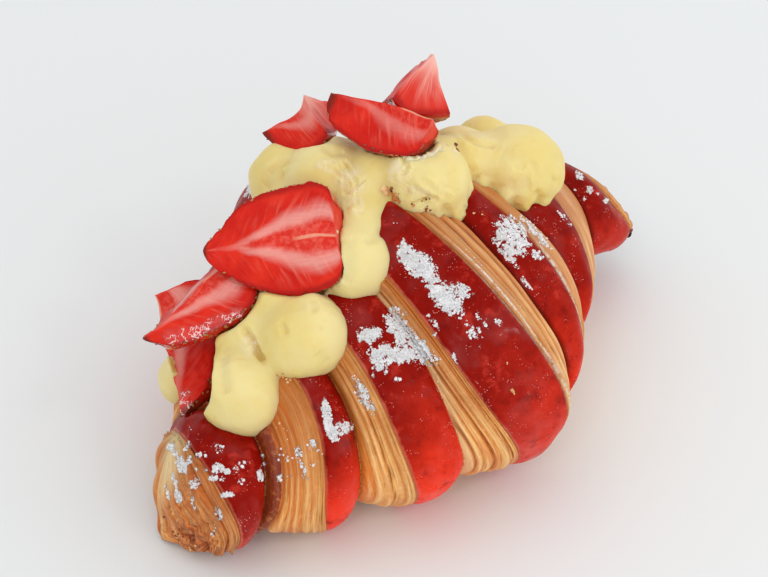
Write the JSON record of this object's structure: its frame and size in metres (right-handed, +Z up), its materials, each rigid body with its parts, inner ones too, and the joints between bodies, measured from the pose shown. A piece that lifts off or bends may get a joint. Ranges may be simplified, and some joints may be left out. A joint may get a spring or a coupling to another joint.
{
  "type": "strawberry croissant",
  "caption": "Glazed croissant rolled from striped dough, cut open on top, filled with a piped rope of custard cream and topped with cut strawberry pieces.",
  "frame": {"origin": "middle of the bounding box in plan, on the surface that the pastry rests on", "axes": "+X along the pastry towards its slimmer right end, +Y towards the back, +Z up out of the filled cut"},
  "size_m": [0.1514, 0.1018, 0.0832],
  "materials": {
    "crust": "baked laminated dough with red glazed bands and golden cut bands",
    "cream": "smooth moist custard cream",
    "strawberry": "moist cut fruit with glossy seeded skin",
    "sugar": "dry icing sugar in small crumbly patches"
  },
  "bodies": {
    "root": {"croissant": "crust", "cream": "cream", "strawberry_1": "strawberry", "strawberry_2": "strawberry", "strawberry_3": "strawberry", "strawberry_4": "strawberry", "strawberry_5": "strawberry", "strawberry_6": "strawberry"}
  },
  "joints": []
}
